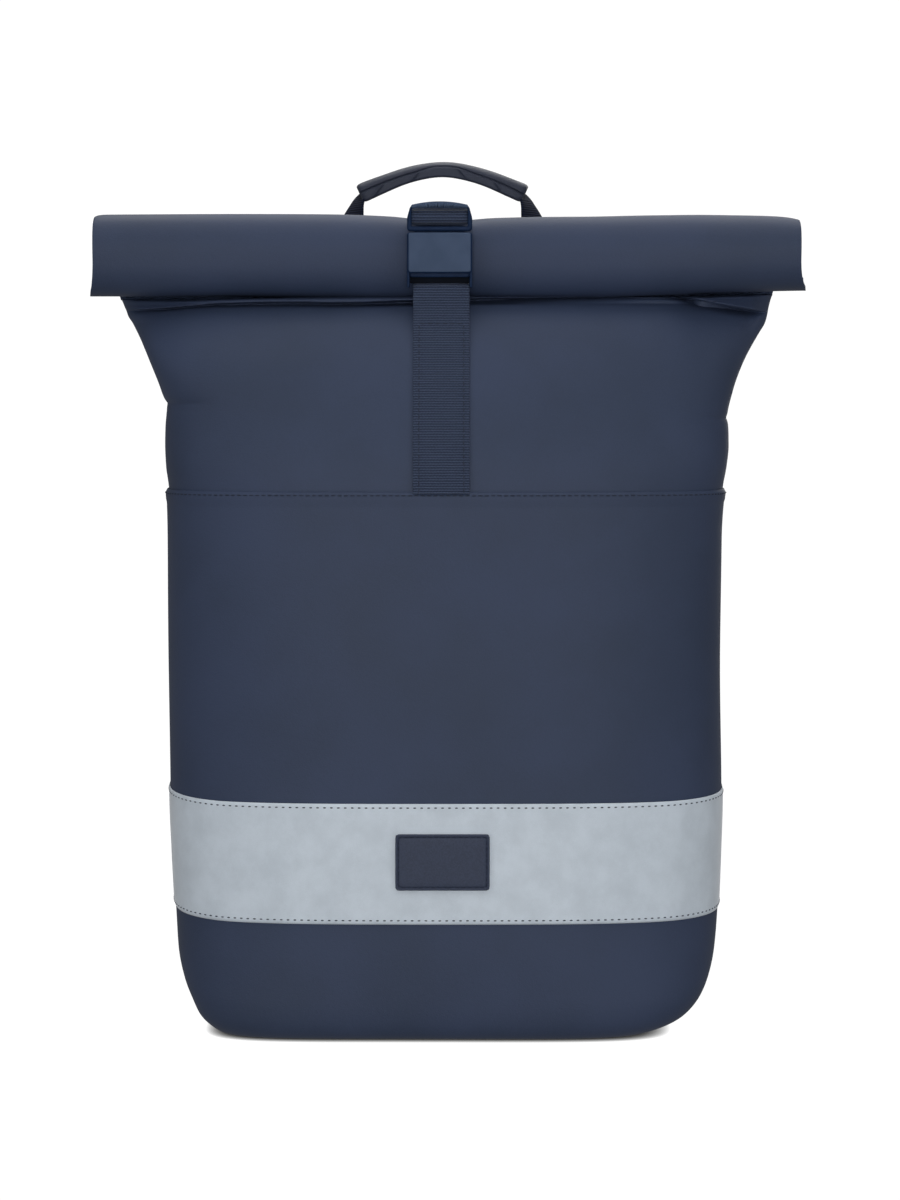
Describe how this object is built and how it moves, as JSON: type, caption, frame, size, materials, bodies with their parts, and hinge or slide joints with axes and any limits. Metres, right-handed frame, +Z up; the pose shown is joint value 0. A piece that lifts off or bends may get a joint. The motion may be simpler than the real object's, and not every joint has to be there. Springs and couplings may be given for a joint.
{
  "type": "roll-top backpack",
  "caption": "Roll-top backpack of coated cloth, with a rolled and buckled mouth, reflective band, padded top handle, back pad and shoulder straps.",
  "frame": {"origin": "middle of the flat base, on the surface that the bag stands on", "axes": "+Z up, -Y out of the front, +X to the right seen from the front"},
  "size_m": [0.375, 0.1805, 0.4661],
  "materials": {
    "coated_cloth": "matte navy coated cloth",
    "reflective_cloth": "silver-grey reflective cloth with a faint mottle",
    "label": "matte navy patch, bare",
    "webbing": "navy ribbed webbing",
    "moulded_plastic": "dark blue moulded plastic, satin",
    "padded_cloth": "dark navy padded cloth"
  },
  "bodies": {
    "root": {"body_shell": "coated_cloth", "front_panel": "coated_cloth", "roll_top": "coated_cloth", "handle_grip": "coated_cloth", "reflective_band": "reflective_cloth", "label_patch": "label", "closing_strap_lower": "webbing", "closing_strap_upper": "webbing", "handle_web_left": "webbing", "handle_web_right": "webbing", "strap_webbing_left": "webbing", "strap_webbing_right": "webbing", "strap_tab_left": "webbing", "strap_tab_right": "webbing", "buckle_catch": "moulded_plastic", "buckle_hook": "moulded_plastic", "strap_adjuster_left": "moulded_plastic", "strap_adjuster_right": "moulded_plastic", "back_pad": "padded_cloth", "shoulder_strap_left": "padded_cloth", "shoulder_strap_right": "padded_cloth"}
  },
  "joints": []
}
